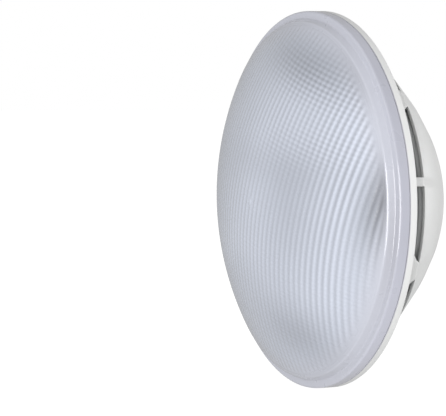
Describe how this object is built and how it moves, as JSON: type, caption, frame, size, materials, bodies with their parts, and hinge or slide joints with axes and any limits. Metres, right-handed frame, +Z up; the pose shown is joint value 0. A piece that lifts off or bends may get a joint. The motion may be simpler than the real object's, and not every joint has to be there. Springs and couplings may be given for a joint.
{
  "type": "underwater pool light",
  "caption": "Round underwater pool lamp: domed prismatic lens on a white slotted rear shell around a sealed LED engine, with screw terminals at the back.",
  "frame": {"origin": "on the lamp axis, in the plane of the rim's rear face, which rests on the seat of the pool niche", "axes": "+Y along the lamp axis to the back, the lens looks along -Y; +Z up; +X to the right seen from the front"},
  "size_m": [0.1775, 0.0919, 0.1775],
  "materials": {
    "frosted_polycarbonate": "frosted prismatic",
    "silicone_seal": "matt",
    "white_shell_plastic": "satin",
    "grey_cup_plastic": "matt",
    "white_reflector_plastic": "satin",
    "aluminium_sheet": "brushed",
    "thermal_silicone": "matt",
    "white_board": "satin mask",
    "led_epoxy": "glossy",
    "green_board": "satin mask",
    "capacitor_sleeve": "glossy",
    "copper_windings": "enamelled",
    "black_epoxy": "matt",
    "blue_board": "satin mask",
    "red_pvc": "satin",
    "green_pvc": "satin",
    "blue_pvc": "satin",
    "black_pvc": "satin",
    "brass": "machined",
    "stainless_steel": "turned",
    "oring_rubber": "matt"
  },
  "bodies": {
    "lamp": {"front_lens": "frosted_polycarbonate", "lens_seal": "silicone_seal", "rear_shell": "white_shell_plastic", "inner_cup": "grey_cup_plastic", "reflector_ring": "white_reflector_plastic", "heat_spreader": "aluminium_sheet", "thermal_pad": "thermal_silicone", "led_board": "white_board", "led_1": "led_epoxy", "led_2": "led_epoxy", "led_3": "led_epoxy", "led_4": "led_epoxy", "led_5": "led_epoxy", "led_6": "led_epoxy", "led_7": "led_epoxy", "led_8": "led_epoxy", "led_9": "led_epoxy", "led_10": "led_epoxy", "led_11": "led_epoxy", "led_12": "led_epoxy", "board_screw_1": "stainless_steel", "board_screw_2": "stainless_steel", "board_screw_3": "stainless_steel", "board_screw_4": "stainless_steel", "driver_board": "green_board", "driver_screw_1": "stainless_steel", "driver_screw_2": "stainless_steel", "driver_screw_3": "stainless_steel", "filter_capacitor_1": "capacitor_sleeve", "filter_capacitor_2": "capacitor_sleeve", "choke_coil": "copper_windings", "bridge_rectifier": "black_epoxy", "led_driver_1": "black_epoxy", "led_driver_2": "black_epoxy", "led_driver_3": "black_epoxy", "control_chip": "black_epoxy", "receiver_module": "blue_board", "receiver_antenna": "black_pvc", "led_lead_red": "red_pvc", "led_lead_green": "green_pvc", "led_lead_blue": "blue_pvc", "led_lead_common": "black_pvc", "supply_lead_left": "black_pvc", "supply_lead_right": "black_pvc", "terminal_post_left": "brass", "terminal_nut_left": "brass", "terminal_oring_left": "oring_rubber", "terminal_post_right": "brass", "terminal_nut_right": "brass", "terminal_oring_right": "oring_rubber", "case_screw_1": "stainless_steel", "case_screw_2": "stainless_steel", "case_screw_3": "stainless_steel", "case_screw_4": "stainless_steel"},
    "clamp_washer_left": {"terminal_washer_left": "stainless_steel"},
    "clamp_screw_left": {"terminal_screw_left": "stainless_steel"},
    "clamp_washer_right": {"terminal_washer_right": "stainless_steel"},
    "clamp_screw_right": {"terminal_screw_right": "stainless_steel"}
  },
  "joints": [
    {"name": "left_washer_lift", "type": "slide", "parent": "lamp", "child": "clamp_washer_left", "axis": [0, 1, 0], "range_m": [0, 0.003]},
    {"name": "left_screw_turn", "type": "hinge", "parent": "clamp_washer_left", "child": "clamp_screw_left", "pos_m": [-0.0115, 0.048, 0], "axis": [0, 1, 0], "range_deg": [0, 1350]},
    {"name": "right_washer_lift", "type": "slide", "parent": "lamp", "child": "clamp_washer_right", "axis": [0, 1, 0], "range_m": [0, 0.003]},
    {"name": "right_screw_turn", "type": "hinge", "parent": "clamp_washer_right", "child": "clamp_screw_right", "pos_m": [0.0115, 0.048, 0], "axis": [0, 1, 0], "range_deg": [0, 1350]}
  ],
  "couplings": [
    {"joint": "left_screw_turn", "follows": "left_washer_lift", "rad_per_m": 7853.9},
    {"joint": "right_screw_turn", "follows": "right_washer_lift", "rad_per_m": 7853.9}
  ]
}
